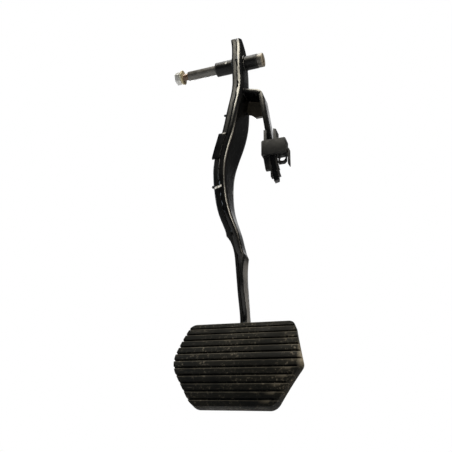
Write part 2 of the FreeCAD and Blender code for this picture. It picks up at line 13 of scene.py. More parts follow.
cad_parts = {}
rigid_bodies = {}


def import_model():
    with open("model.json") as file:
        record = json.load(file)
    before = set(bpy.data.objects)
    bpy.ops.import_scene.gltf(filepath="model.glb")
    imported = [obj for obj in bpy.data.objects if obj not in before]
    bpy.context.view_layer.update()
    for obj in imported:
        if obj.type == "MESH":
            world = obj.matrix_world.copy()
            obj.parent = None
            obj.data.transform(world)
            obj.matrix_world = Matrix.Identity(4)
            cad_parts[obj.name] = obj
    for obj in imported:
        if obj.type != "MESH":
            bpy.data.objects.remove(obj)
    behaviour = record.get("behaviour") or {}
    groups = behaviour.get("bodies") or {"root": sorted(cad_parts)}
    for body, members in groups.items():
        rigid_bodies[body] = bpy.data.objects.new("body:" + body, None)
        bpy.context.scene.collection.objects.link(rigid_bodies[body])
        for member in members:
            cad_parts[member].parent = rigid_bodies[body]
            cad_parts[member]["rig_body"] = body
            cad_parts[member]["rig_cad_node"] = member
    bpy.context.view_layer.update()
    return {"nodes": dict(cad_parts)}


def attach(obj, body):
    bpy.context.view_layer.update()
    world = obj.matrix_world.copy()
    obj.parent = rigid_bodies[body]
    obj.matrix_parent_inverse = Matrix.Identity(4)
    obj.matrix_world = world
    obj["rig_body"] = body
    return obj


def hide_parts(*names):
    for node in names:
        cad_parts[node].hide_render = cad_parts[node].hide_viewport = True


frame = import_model()
nodes = frame["nodes"]
MM = 0.001

# %% [markdown]
# The pedal hangs from its pivot, and the camera stands below and to its right, looking up.
# A camera can be aimed with a Track To constraint, or given its three axes directly.
# The axes are written out here, because the view was solved from the pivot and the tread ribs.

# %% Camera at the viewing angle of the photograph
CAMERA_PLACE = Vector((155.83, -441.48, -392.62)) * MM
CAMERA_FORWARD = Vector((-0.32951, 0.86588, 0.37641)).normalized()
CAMERA_UP = Vector((0.10940, -0.36097, 0.92614)).normalized()
camera_right = CAMERA_FORWARD.cross(CAMERA_UP).normalized()
bpy.ops.object.select_all(action="DESELECT")
bpy.ops.object.camera_add(location=CAMERA_PLACE)
camera = bpy.context.object
camera.name = "studio_camera"
axes = Matrix((camera_right, camera_right.cross(CAMERA_FORWARD), -CAMERA_FORWARD)).transposed()
camera.rotation_euler = axes.to_euler()
camera.data.sensor_width = 36.0
camera.data.lens = 36.0 * 500.0 / 452.0
bpy.context.scene.camera = camera
print("lens", round(camera.data.lens, 2), "mm")

# %% [markdown]
# Each new piece is modelled as by hand, with operators that act on what is selected.
# A hand would click on edges and faces; code has to pick them by their place or their direction.
# Three small helpers do the picking, and a fourth lets a finished piece ride on its body.

# %% Helpers for modelling by hand
def clear_selection():
    """Nothing is selected, so that the next operator acts only on what is added."""
    bpy.ops.object.select_all(action="DESELECT")


def select_parts(piece, kind, test):
    """In edit mode, selects the vertices, edges or faces that pass the test."""
    bpy.ops.mesh.select_mode(type=kind)
    bpy.ops.mesh.select_all(action="DESELECT")
    mesh = bmesh.from_edit_mesh(piece.data)
    parts = {"VERT": mesh.verts, "EDGE": mesh.edges, "FACE": mesh.faces}[kind]
    for part in parts:
        part.select_set(bool(test(part)))
    mesh.select_flush_mode()
    bmesh.update_edit_mesh(piece.data)


def edge_length_axis(edge):
    """Unit direction of an edge."""
    return (edge.verts[1].co - edge.verts[0].co).normalized()


def settle(piece, name, body, smooth=40.0):
    """Puts the piece's place into its mesh, smooths it and lets it ride on its body."""
    if bpy.context.object.mode != "OBJECT":
        bpy.ops.object.mode_set(mode="OBJECT")
    clear_selection()
    piece.select_set(True)
    bpy.context.view_layer.objects.active = piece
    bpy.ops.object.transform_apply(location=True, rotation=True, scale=True)
    bpy.ops.object.shade_smooth_by_angle(angle=math.radians(smooth))
    piece.name = name
    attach(piece, body)
    print(name, "has", len(piece.data.polygons), "faces")
    return piece


# %% [markdown]
# Many edges of the real pedal are rounded, and the solids are sharp there. A solid's mesh is loose triangles
# that nothing can round, and it has to stay as it is. So a copy is made, and the corners of its triangles
# are merged. The copy then stands for the solid.

# %% Merged copies of the solids
MERGE_DISTANCE = 0.01 * MM


def merged_copy(node):
    """A copy of a solid's mesh, free of its body, with the triangles' corners merged."""
    clear_selection()
    nodes[node].select_set(True)
    bpy.context.view_layer.objects.active = nodes[node]
    bpy.ops.object.duplicate()
    piece = bpy.context.object
    piece.parent = None
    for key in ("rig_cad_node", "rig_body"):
        del piece[key]
    bpy.ops.object.mode_set(mode="EDIT")
    bpy.ops.mesh.select_all(action="SELECT")
    bpy.ops.mesh.remove_doubles(threshold=MERGE_DISTANCE)
    return piece


# %% [markdown]
# Rubber, plastic and machined pieces have round edges that catch a thin line of light. Flat areas are joined
# into single faces, and a Bevel modifier rounds the edges that are sharper than a limit.
# The bracket's bend is a few flat facets, so its edges are bevelled before, which makes it rounder.

# %% Copies with rounded edges
FLAT_ANGLE, SHARP_ANGLE = math.radians(1.0), math.radians(35.0)
LEAST_BEND, MOST_BEND = 6.0, 34.0


def is_bend_edge(edge, least):
    """Whether an edge divides two facets of a rounded bend."""
    if len(edge.link_faces) != 2 or edge.calc_length() < least * MM:
        return False
    turn = math.degrees(edge.calc_face_angle(0.0))
    return LEAST_BEND < turn < MOST_BEND


def rounded_copy(node, name, body, width, soften=0.0):
    """A copy of a solid with its sharp edges bevelled and its bends made rounder."""
    piece = merged_copy(node)
    bpy.ops.mesh.dissolve_limited(angle_limit=FLAT_ANGLE)
    if soften:
        select_parts(piece, "EDGE", lambda edge: is_bend_edge(edge, soften))
        bpy.ops.mesh.bevel(offset=soften * MM, segments=3, affect="EDGES")
    bpy.ops.object.mode_set(mode="OBJECT")
    bevel = piece.modifiers.new("edges", "BEVEL")
    bevel.width = width
    bevel.segments = 2
    bevel.limit_method = "ANGLE"
    bevel.angle_limit = SHARP_ANGLE
    bpy.ops.object.modifier_apply(modifier="edges")
    settle(piece, name, body)
    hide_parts(node)
    return piece


# %% [markdown]
# The arm's two pressed shells are curved already, so their copies are only shaded smooth. The bends beside
# the left shell's long flat front would shade it unevenly, so there larger faces count for more.

# %% Smooth copies
SHELL_SMOOTHING = 32.0


def smooth_copy(node, name, body, flats=False):
    """A copy of a solid whose bends are shaded as smooth curves; flats keeps its flat sides even."""
    piece = merged_copy(node)
    settle(piece, name, body, SHELL_SMOOTHING)
    if flats:
        weights = piece.modifiers.new("face_weights", "WEIGHTED_NORMAL")
        weights.keep_sharp = True
        bpy.ops.object.modifier_apply(modifier="face_weights")
    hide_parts(node)
    return piece


# %% [markdown]
# Each copy gets its own rounding: most on the soft rubber, least on the turned sleeve.

# %% The copies
left_shell = smooth_copy("arm_left_shell", "pressed_left_shell", "pedal", flats=True)
right_shell = smooth_copy("arm_right_shell", "pressed_right_shell", "pedal")
pad = rounded_copy("pad_cover", "tread_pad", "pedal", 0.55 * MM)
clip = rounded_copy("push_rod_clip", "moulded_clip", "pedal", 0.35 * MM)
strap = rounded_copy("push_rod_bracket", "bent_bracket", "pedal", 0.5 * MM, soften=1.0)
bolt = rounded_copy("pivot_bolt", "flange_bolt", "pivot", 0.35 * MM)
sleeve = rounded_copy("spacer_sleeve", "collared_sleeve", "pivot", 0.3 * MM)

# %% [markdown]
# The pivot tube, the bracket and the foot plate are welded to the arm.
# A weld bead is a row of overlapping ripples, like coins laid over each other.
# A sculpted bead would be slow, so a thin cylinder is cut into rings and every other ring is drawn in.

# %% Weld beads
BEAD_SMOOTHING = 60.0


def ripple(piece, along, pitch, amount):
    """Draws in every other ring of vertices, measured along a direction."""
    mesh = bmesh.from_edit_mesh(piece.data)
    start = min(vert.co.dot(along) for vert in mesh.verts)

    def in_trough(vert):
        return int(round((vert.co.dot(along) - start) / pitch)) % 2 == 1

    select_parts(piece, "VERT", in_trough)
    bpy.ops.transform.shrink_fatten(value=-amount)


def weld_run(name, start, end, radius, rings=14, sag=Vector((0, 0, 0))):
    """A straight or gently bowed bead from start to end; sag is how far its middle is pushed."""
    start, end = Vector(start) * MM, Vector(end) * MM
    length = (end - start).length
    clear_selection()
    bpy.ops.mesh.primitive_cylinder_add(vertices=10, radius=radius * MM, depth=length)
    bead = bpy.context.object
    bpy.ops.object.mode_set(mode="EDIT")
    select_parts(bead, "EDGE", lambda edge: abs(edge_length_axis(edge).z) > 0.9)
    bpy.ops.mesh.subdivide(number_cuts=rings - 1)
    ripple(bead, Vector((0, 0, 1)), length / rings, radius * 0.22 * MM)
    select_parts(bead, "FACE", lambda face: abs(face.normal.z) > 0.9)
    bpy.ops.transform.resize(value=(0.55, 0.55, 1.0))
    bpy.ops.object.mode_set(mode="OBJECT")
    bead.rotation_euler = (end - start).to_track_quat("Z", "Y").to_euler()
    bead.location = (start + end) / 2
    bpy.ops.object.transform_apply(location=True, rotation=True, scale=True)
    for vert in bead.data.vertices:
        share = (vert.co - start).dot(end - start) / length ** 2
        vert.co += sag * MM * 4.0 * share * (1.0 - share)
    return settle(bead, name, "pedal", BEAD_SMOOTHING)


# %% [markdown]
# Round the pivot tube the bead is a ring. A straight bead could be bent round, but a torus already is a ring,
# and every other step round it is drawn in.

# %% Ring beads
RING_STEPS = 48


def weld_ring(name, place, ring_radius, bead_radius):
    """A bead right round the pivot tube."""
    clear_selection()
    bpy.ops.mesh.primitive_torus_add(
        major_radius=ring_radius * MM, minor_radius=bead_radius * MM,
        major_segments=RING_STEPS, minor_segments=10,
        rotation=(0, math.pi / 2, 0), location=Vector(place) * MM)
    ring = bpy.context.object
    bpy.ops.object.transform_apply(location=True, rotation=True, scale=True)
    bpy.ops.object.mode_set(mode="EDIT")

    def in_trough(vert):
        turn = math.atan2(vert.co.z - place[2] * MM, vert.co.y - place[1] * MM)
        return int(round(turn / (2 * math.pi) * RING_STEPS)) % 2 == 1

    select_parts(ring, "VERT", in_trough)
    bpy.ops.transform.shrink_fatten(value=-bead_radius * 0.2 * MM)
    return settle(ring, name, "pedal", BEAD_SMOOTHING)


# %% [markdown]
# Welds and trim follow the arm's curve. Their places could be typed one by one, but the arm bows in two
# directions. It is surer to ask the shell itself: a ray from the left finds its side at a height,
# and a ray from the front finds its front.

# %% Where the arm's left shell is
ARM_MIDDLE, FRONT_INSET, FAR_OUT = -8.0 * MM, 3.0 * MM, -0.1
SHELL_DEPTH = 6.4 * MM


def arm_edge(height):
    """Left x and front y of the arm's left shell at a height, found by casting rays on its mesh."""
    left = left_shell.ray_cast(Vector((FAR_OUT, ARM_MIDDLE, height)), Vector((1, 0, 0)))[1].x
    front = left_shell.ray_cast(Vector((left + FRONT_INSET, FAR_OUT, height)), Vector((0, 1, 0)))[1].y
    return left, front


print("arm edge at z -120:", [round(side * 1000, 1) for side in arm_edge(-0.12)])


def seam_point(height):
    """A point on the seam between the two shells, at the front."""
    left, front = arm_edge(height * MM)
    return ((left + SHELL_DEPTH) / MM, front / MM, height)


# %% [markdown]
# There are beads round the tube on both sides of the arm, along the bracket's top and foot, down both
# sides of the arm's foot, and on the seam between the shells. Each is laid into the corner between
# the two pieces that it joins. The plate behind the pad is curved, so the beads on it sag with it.

# %% The welds themselves
PLATE_BOW = Vector((0, -1.2, 0))
welds = [
    weld_ring("weld_tube_left", (-6.7, 0, 0), 8.5, 1.2),
    weld_ring("weld_tube_right", (6.3, 0, 0), 8.5, 1.2),
    weld_run("weld_bracket_top", (8.0, -9.5, -41.9), (8.0, 8.5, -41.9), 1.3),
    weld_run("weld_bracket_foot", (7.8, -9.5, -48.2), (7.8, 8.5, -48.2), 1.2),
    weld_run("weld_foot_left", (-2.2, 7.9, -308.0), (-2.1, -6.3, -336.0), 1.6, 24, PLATE_BOW),
    weld_run("weld_foot_right", (4.8, 7.9, -308.0), (4.8, -6.3, -336.0), 1.6, 24, PLATE_BOW),
    weld_run("weld_seam_upper", seam_point(-134), seam_point(-146), 0.75, 18),
    weld_run("weld_seam_lower", seam_point(-147), seam_point(-159), 0.75, 18),
]

# %% [markdown]
# Half-way down, the front of the left shell carries a short pressed lap that stands a little proud
# and overhangs the shell's left edge. It follows the bend of the arm.
# A plate could be bent with a curve, but it is simpler to cut a block into rings
# and to set each ring against the arm, where rays find the arm's edge.

# %% Pressed lap on the left shell
LAP_TOP, LAP_FOOT, LAP_CUTS = -104.0 * MM, -134.0 * MM, 9
LAP_LEFT, LAP_RIGHT = -2.3 * MM, 6.0 * MM
LAP_PROUD, LAP_SUNK = -0.9 * MM, 1.4 * MM
clear_selection()
bpy.ops.mesh.primitive_cube_add(size=1.0)
lap = bpy.context.object
bpy.ops.object.mode_set(mode="EDIT")
select_parts(lap, "EDGE", lambda edge: abs(edge_length_axis(edge).z) > 0.9)
bpy.ops.mesh.subdivide(number_cuts=LAP_CUTS)
lap_mesh = bmesh.from_edit_mesh(lap.data)
for vert in lap_mesh.verts:
    height = LAP_TOP + (LAP_FOOT - LAP_TOP) * (0.5 - vert.co.z)
    left, front = arm_edge(height)
    across = LAP_LEFT if vert.co.x < 0 else LAP_RIGHT
    ahead = LAP_PROUD if vert.co.y < 0 else LAP_SUNK
    vert.co = (left + across, front + ahead, height)
bmesh.update_edit_mesh(lap.data)
bpy.ops.object.mode_set(mode="OBJECT")
rounding = lap.modifiers.new("edges", "BEVEL")
rounding.width = 0.35 * MM
rounding.segments = 2
bpy.ops.object.modifier_apply(modifier="edges")
settle(lap, "pressed_lap", "pedal")

# %% [markdown]
# Two small lugs stand out of the left shell's edge, where the press located the two halves.
# Each is a short stub: a cylinder whose end is drawn in and rounded.

# %% Locating lugs
def lug(name, height, radius, reach):
    """A stub on the arm's left edge, pointing left."""
    left, front = arm_edge(height * MM)
    clear_selection()
    bpy.ops.mesh.primitive_cylinder_add(vertices=20, radius=radius * MM, depth=2 * reach * MM)
    stub = bpy.context.object
    bpy.ops.object.mode_set(mode="EDIT")
    select_parts(stub, "FACE", lambda face: face.normal.z > 0.9)
    bpy.ops.mesh.inset(thickness=radius * 0.3 * MM)
    bpy.ops.transform.translate(value=(0, 0, radius * 0.3 * MM))
    bpy.ops.object.mode_set(mode="OBJECT")
    stub.rotation_euler = (0, -math.pi / 2, 0)
    stub.location = (left, front + radius * 1.3 * MM, height * MM)
    return settle(stub, name, "pedal", 50.0)


lugs = [lug("lug_upper", -80.0, 1.3, 1.5), lug("lug_lower", -165.0, 1.5, 1.2)]

# %% [markdown]
# Finishes share a few effects: dust that settles in flecks, fine scratches, and a small grain.
# Each effect is a node group with named inputs, so that every finish can use it with its own values.

# %% Node helpers
def add_node(tree, kind, **values):
    """A node with its properties or inputs set by name."""
    node = tree.nodes.new(kind)
    for name, number in values.items():
        if hasattr(node, name):
            setattr(node, name, number)
        else:
            node.inputs[name.replace("_", " ")].default_value = number
    return node


def join(tree, source, output, target, socket):
    tree.links.new(source.outputs[output], target.inputs[socket])


def calculate(tree, operation, *terms):
    """A number worked out from terms; each is a number, or a node with its output's name."""
    node = add_node(tree, "ShaderNodeMath", operation=operation)
    for socket, term in enumerate(terms):
        if isinstance(term, tuple):
            join(tree, *term, node, socket)
        else:
            node.inputs[socket].default_value = term
    return node


def axes_of(tree, place, output="Object"):
    """The x, y and z of a place."""
    node = add_node(tree, "ShaderNodeSeparateXYZ")
    join(tree, place, output, node, "Vector")
    return node


def new_group(name, inputs, outputs):
    """An empty effect with its named sockets."""
    group = bpy.data.node_groups.new(name, "ShaderNodeTree")
    for socket, kind, default in inputs:
        made = group.interface.new_socket(socket, in_out="INPUT", socket_type=kind)
        if default is not None:
            made.default_value = default
    for socket, kind in outputs:
        group.interface.new_socket(socket, in_out="OUTPUT", socket_type=kind)
    return group, group.nodes.new("NodeGroupInput"), group.nodes.new("NodeGroupOutput")


FLOAT, VECTOR = "NodeSocketFloat", "NodeSocketVector"


# %% [markdown]
# Dust gathers in cloudy patches of small flecks. One large noise gives the patches,
# one small noise the flecks, and their product keeps flecks inside the patches.

# %% Dust flecks
dust_group, source, sink = new_group(
    "dust_flecks",
    [("Place", VECTOR, None), ("Fleck Size", FLOAT, 900.0), ("Patch Size", FLOAT, 40.0),
     ("Cover", FLOAT, 0.5)],
    [("Dust", FLOAT), ("Patches", FLOAT)])
flecks = add_node(dust_group, "ShaderNodeTexNoise", Detail=4.0, Roughness=0.7)
patches = add_node(dust_group, "ShaderNodeTexNoise", Detail=3.0, Roughness=0.6)
for noise, size in ((flecks, "Fleck Size"), (patches, "Patch Size")):
    join(dust_group, source, "Place", noise, "Vector")
    join(dust_group, source, size, noise, "Scale")
fleck_edge = add_node(dust_group, "ShaderNodeMapRange", From_Min=0.56, From_Max=0.68)
join(dust_group, flecks, "Fac", fleck_edge, "Value")
patch_edge = add_node(dust_group, "ShaderNodeMapRange", From_Min=0.38, From_Max=0.66)
join(dust_group, patches, "Fac", patch_edge, "Value")
both = calculate(dust_group, "MULTIPLY", (fleck_edge, "Result"), (patch_edge, "Result"))
cover = calculate(dust_group, "MULTIPLY", (both, "Value"), (source, "Cover"))
join(dust_group, cover, "Value", sink, "Dust")
join(dust_group, patch_edge, "Result", sink, "Patches")
print("group", dust_group.name)

# %% [markdown]
# A scratch is a long thin streak. Noise that is squeezed across and stretched along gives streaks,
# and a narrow band of its values leaves only hairlines.

# %% Scratches
scratch_group, source, sink = new_group(
    "hairline_scratches",
    [("Place", VECTOR, None), ("Stretch", VECTOR, (900.0, 900.0, 40.0)),
     ("Turn", VECTOR, (0.0, 0.0, 0.0))],
    [("Scratch", FLOAT)])
stretch = add_node(scratch_group, "ShaderNodeMapping")
join(scratch_group, source, "Place", stretch, "Vector")
join(scratch_group, source, "Stretch", stretch, "Scale")
join(scratch_group, source, "Turn", stretch, "Rotation")
streaks = add_node(scratch_group, "ShaderNodeTexNoise", Scale=1.0, Detail=2.0)
join(scratch_group, stretch, "Vector", streaks, "Vector")
hairline = add_node(scratch_group, "ShaderNodeMapRange", From_Min=0.69, From_Max=0.76)
join(scratch_group, streaks, "Fac", hairline, "Value")
join(scratch_group, hairline, "Result", sink, "Scratch")
print("group", scratch_group.name)

# %% [markdown]
# No surface is perfectly even. A fine grain and a broad waviness together give a height for the bump
# and a slow change for the gloss.

# %% Grain
grain_group, source, sink = new_group(
    "surface_grain",
    [("Place", VECTOR, None), ("Grain Size", FLOAT, 1500.0), ("Wave Size", FLOAT, 120.0),
     ("Waviness", FLOAT, 0.5)],
    [("Height", FLOAT), ("Change", FLOAT)])
fine = add_node(grain_group, "ShaderNodeTexNoise", Detail=3.0, Roughness=0.6)
broad = add_node(grain_group, "ShaderNodeTexNoise", Detail=2.0)
for noise, size in ((fine, "Grain Size"), (broad, "Wave Size")):
    join(grain_group, source, "Place", noise, "Vector")
    join(grain_group, source, size, noise, "Scale")
mixed = add_node(grain_group, "ShaderNodeMix", data_type="FLOAT")
join(grain_group, source, "Waviness", mixed, 0)
join(grain_group, fine, "Fac", mixed, 2)
join(grain_group, broad, "Fac", mixed, 3)
join(grain_group, mixed, "Result", sink, "Height")
join(grain_group, broad, "Fac", sink, "Change")
print("group", grain_group.name)


# %% [markdown]
# An inspector has put two strokes of white paint across the arm's front. A stroke is a slanted bar:
# the point's offset from the stroke's middle is compared with half its length and half its height.

# %% Paint stroke
STROKE_DEPTH = 4.0 * MM
stroke_group, source, sink = new_group(
    "paint_stroke",
    [("Place", VECTOR, None), ("Middle", VECTOR, (0.0, 0.0, 0.0)), ("Half Length", FLOAT, 0.002),
     ("Half Height", FLOAT, 0.001), ("Slope", FLOAT, 0.3)],
    [("Paint", FLOAT)])
offset = add_node(stroke_group, "ShaderNodeVectorMath", operation="SUBTRACT")
join(stroke_group, source, "Place", offset, 0)
join(stroke_group, source, "Middle", offset, 1)
sides = axes_of(stroke_group, offset, "Vector")
along = calculate(stroke_group, "ABSOLUTE", (sides, "X"))
inside_length = calculate(stroke_group, "LESS_THAN", (along, "Value"), (source, "Half Length"))
rise = calculate(stroke_group, "MULTIPLY", (sides, "X"), (source, "Slope"))
level = calculate(stroke_group, "SUBTRACT", (sides, "Z"), (rise, "Value"))
above = calculate(stroke_group, "ABSOLUTE", (level, "Value"))
inside_height = calculate(stroke_group, "LESS_THAN", (above, "Value"), (source, "Half Height"))
on_front = calculate(stroke_group, "LESS_THAN", (sides, "Y"), STROKE_DEPTH)
bar = calculate(stroke_group, "MULTIPLY", (inside_length, "Value"), (inside_height, "Value"))
stroke = calculate(stroke_group, "MULTIPLY", (bar, "Value"), (on_front, "Value"))
join(stroke_group, stroke, "Value", sink, "Paint")
print("group", stroke_group.name)


# %% [markdown]
# Every finish below is put together in the same way: a surface shader, a few effects that read the piece's
# own coordinates, colours blended by masks, and a bump. Wiring each by hand would repeat itself,
# so each of these moves is a short function.

# %% Material helpers
def new_finish(name):
    """A material with its surface shader and the piece's own coordinates."""
    finish = bpy.data.materials.new(name)
    finish.use_nodes = True
    tree = finish.node_tree
    place = add_node(tree, "ShaderNodeTexCoord")
    return finish, tree, tree.nodes["Principled BSDF"], place


def effect(tree, group, place, **values):
    node = tree.nodes.new("ShaderNodeGroup")
    node.node_tree = group
    join(tree, place, "Object", node, "Place")
    for name, number in values.items():
        node.inputs[name.replace("_", " ")].default_value = number
    return node


def blend_colour(tree, mask, output, under, over):
    """A colour that goes from under to over by a mask; each is a colour or a node."""
    mix = add_node(tree, "ShaderNodeMix", data_type="RGBA")
    join(tree, mask, output, mix, 0)
    for socket, colour in ((6, under), (7, over)):
        if isinstance(colour, tuple):
            mix.inputs[socket].default_value = (*colour, 1.0)
        else:
            tree.links.new(colour.outputs[2], mix.inputs[socket])
    return mix


def spread(tree, source, output, low, high, start=0.3, end=0.7):
    """A value that runs from low to high as the source goes from start to end."""
    node = add_node(tree, "ShaderNodeMapRange", From_Min=start, From_Max=end, To_Min=low, To_Max=high)
    join(tree, source, output, node, "Value")
    return node


def bump(tree, surface, source, output, strength, distance):
    node = add_node(tree, "ShaderNodeBump", Strength=strength, Distance=distance)
    join(tree, source, output, node, "Height")
    join(tree, node, "Normal", surface, "Normal")
    return node


def wear(finish, *pieces):
    """Gives a finish to pieces, in place of what they had."""
    for piece in pieces:
        piece.data.materials.clear()
        piece.data.materials.append(finish)
    print(finish.name, "on", [piece.name for piece in pieces])


# %% [markdown]
# The arm, tube and bracket have one black coat: a dark base under a clear, slightly wavy gloss,
# with dust flecks and hairline scratches. It has flowed out glossy on the right shell and dried
# satin on the left one, so the gloss is an input of the recipe.

# %% Black coat of the arm
STROKE_HALF_HEIGHT = 1.15 * MM


def black_coat(name, glossy, satin, clear, mirror=0.30, dusty=0.10, strokes=(), painted_light_depth=None):
    """The arm's coat from glossy to satin roughness; strokes of paint are a middle and a half
    length; behind a given depth (the last argument), a patchy pale brown is painted on as painted light on
    the bracket's shaded rear web."""
    coat, tree, surface, place = new_finish(name)
    surface.inputs["Specular IOR Level"].default_value = mirror
    surface.inputs["Coat Weight"].default_value = clear
    surface.inputs["Coat Roughness"].default_value = glossy
    grain = effect(tree, grain_group, place, Grain_Size=260.0, Wave_Size=60.0, Waviness=0.6)
    dust = effect(tree, dust_group, place, Fleck_Size=700.0, Patch_Size=30.0, Cover=dusty)
    scratch = effect(tree, scratch_group, place, Stretch=(1100.0, 1100.0, 60.0))
    colour = blend_colour(tree, grain, "Change", (0.0018, 0.0022, 0.0028), (0.0042, 0.0045, 0.005))
    colour = blend_colour(tree, dust, "Dust", colour, (0.10, 0.09, 0.07))
    colour = blend_colour(tree, scratch, "Scratch", colour, (0.02, 0.019, 0.018))
    # Painted light: behind the given depth, a patchy pale brown stands for the light that the bracket's rear
    # web catches.
    if painted_light_depth:
        split = axes_of(tree, place)
        behind = spread(tree, split, "Y", 0.0, 1.0, painted_light_depth - MM, painted_light_depth)
        painted_web_light = calculate(tree, "MULTIPLY", (behind, "Result"), (grain, "Height"))
        colour = blend_colour(tree, painted_web_light, "Value", colour, (0.22, 0.195, 0.155))
    for middle, half_length in strokes:
        paint = effect(tree, stroke_group, place, Middle=middle, Half_Length=half_length,
                       Half_Height=STROKE_HALF_HEIGHT)
        colour = blend_colour(tree, paint, "Paint", colour, (0.95, 0.95, 0.93))
    tree.links.new(colour.outputs[2], surface.inputs["Base Color"])
    gloss = spread(tree, grain, "Change", glossy, satin)
    join(tree, gloss, "Result", surface, "Roughness")
    bump(tree, surface, grain, "Height", 0.03, 0.0006)
    return coat


STROKES = [((-0.0122, -0.0214, -0.1657), 0.0021), ((-0.0164, -0.0213, -0.1668), 0.0013)]
gloss_coat = black_coat("gloss_black_coat", 0.17, 0.27, 0.18, strokes=STROKES)
satin_coat = black_coat("satin_black_coat", 0.34, 0.46, 0.0, mirror=0.17, strokes=STROKES)
# A small white spot is painted on the front of the tube's left stub.
TUBE_WHITE_SPOT = [((-0.0146, -0.0080, 0.0006), 0.0008)]
tube_coat = black_coat("white_spotted_black_coat", 0.34, 0.46, 0.0, mirror=0.20, strokes=TUBE_WHITE_SPOT)
# The bracket's coat has denser dust flecks, and painted light: a patchy pale brown on its rear web, behind 8
# mm, stands for the light falling there.
bracket_coat = black_coat("dusty_black_coat_painted_web_light", 0.16, 0.28, 0.1, dusty=0.3, painted_light_depth=8.0 * MM)
wear(gloss_coat, right_shell, lap, *welds)
wear(satin_coat, left_shell, *lugs)
wear(tube_coat, nodes["pivot_tube"])
wear(bracket_coat, strap)

# %% [markdown]
# The tread is black rubber, dull and a little brown with road dust on the upper ribs.
# Its colour is painted lighter towards the top and darker lower down: partly dust that gathers on the upper
# ribs, partly painted shade on the lower ribs, which the top light reaches less.

# %% Dusty tread rubber with painted shade low down
PAD_AXIS = (0.0, 0.0996, -0.3721)
PAD_RADIUS, RIB_PITCH, PAD_TILT = 0.120, 0.0069, math.radians(18.0)
rubber, tree, surface, place = new_finish("dusty_tread_rubber")
surface.inputs["Specular IOR Level"].default_value = 0.06
grain = effect(tree, grain_group, place, Grain_Size=1400.0, Wave_Size=60.0, Waviness=0.3)
dust = effect(tree, dust_group, place, Fleck_Size=420.0, Patch_Size=50.0, Cover=0.75)
scratch = effect(tree, scratch_group, place, Stretch=(70.0, 900.0, 900.0))
split = axes_of(tree, place)
# Painted shade with dust: the rubber is painted darker towards the bottom of the pad and lighter towards the
# top.
top_dust_and_lower_shade = spread(tree, split, "Z", 0.0, 1.0, -0.372, -0.305)
base = blend_colour(tree, top_dust_and_lower_shade, "Result", (0.0042, 0.0047, 0.0048), (0.0092, 0.0091, 0.0072))
cloudy = blend_colour(tree, dust, "Patches", base, (0.0135, 0.013, 0.0102))

# %% [markdown]
# A thin pale line along the upper edge of every rib is partly dust and partly a painted highlight, where the
# rib's edge catches the light. The ribs are evenly spaced round the pad's curve, so the angle about the
# curve's axis, divided by the pitch, counts the ribs, and its fraction tells where on a rib a point is. The
# lip behind the plate is nearer to that axis and has no ribs, so the distance from the axis keeps the lines
# off it.

# %% Dust and painted highlight lines on the ribs
from_axis = add_node(tree, "ShaderNodeVectorMath", operation="SUBTRACT")
join(tree, place, "Object", from_axis, 0)
from_axis.inputs[1].default_value = PAD_AXIS
arm_sides = axes_of(tree, from_axis, "Vector")
ahead = calculate(tree, "MULTIPLY", (arm_sides, "Y"), -1.0)
turn = calculate(tree, "ARCTAN2", (arm_sides, "Z"), (ahead, "Value"))
count = spread(tree, turn, "Value", -6.0, 6.0,
               PAD_TILT - 6.0 * RIB_PITCH / PAD_RADIUS, PAD_TILT + 6.0 * RIB_PITCH / PAD_RADIUS)
count.clamp = False
on_rib = calculate(tree, "FRACT", (count, "Result"))
edge_start = spread(tree, on_rib, "Value", 0.0, 1.0, 0.74, 0.82)
edge_end = spread(tree, on_rib, "Value", 1.0, 0.0, 0.86, 0.88)
edge_line = calculate(tree, "MULTIPLY", (edge_start, "Result"), (edge_end, "Result"))
flat_arm = add_node(tree, "ShaderNodeVectorMath", operation="MULTIPLY")
join(tree, from_axis, "Vector", flat_arm, 0)
flat_arm.inputs[1].default_value = (0.0, 1.0, 1.0)
reach = add_node(tree, "ShaderNodeVectorMath", operation="LENGTH")
join(tree, flat_arm, "Vector", reach, 0)
on_face = spread(tree, reach, "Value", 0.0, 1.0, PAD_RADIUS - 4.0 * MM, PAD_RADIUS - 3.0 * MM)
face_line = calculate(tree, "MULTIPLY", (edge_line, "Value"), (on_face, "Result"))
uneven = spread(tree, dust, "Patches", 0.35, 1.0, 0.0, 1.0)
edge_dust_and_highlight = calculate(tree, "MULTIPLY", (face_line, "Value"), (uneven, "Result"))
# The lines are partly dust and partly a painted highlight on the rib edges.
lined_dust_and_highlight = blend_colour(tree, edge_dust_and_highlight, "Value", cloudy, (0.10, 0.09, 0.07))
flecked = blend_colour(tree, dust, "Dust", lined_dust_and_highlight, (0.24, 0.21, 0.16))
scuffed = blend_colour(tree, scratch, "Scratch", flecked, (0.09, 0.08, 0.066))
right_edge = spread(tree, split, "X", 0.0, 1.0, 0.0600, 0.0640)
edge_height = spread(tree, split, "Z", 0.0, 1.0, -0.343, -0.336)
worn = calculate(tree, "MULTIPLY", (right_edge, "Result"), (edge_height, "Result"))
worn_patch = calculate(tree, "MULTIPLY", (worn, "Value"), (grain, "Height"))
edged = blend_colour(tree, worn_patch, "Value", scuffed, (0.50, 0.44, 0.34))

# %% [markdown]
# The right ends of the lower ribs are rubbed pale. The pad's edge slants there, so the slant is taken
# out of x first, and then a band of x just inside the border is the rubbed part.

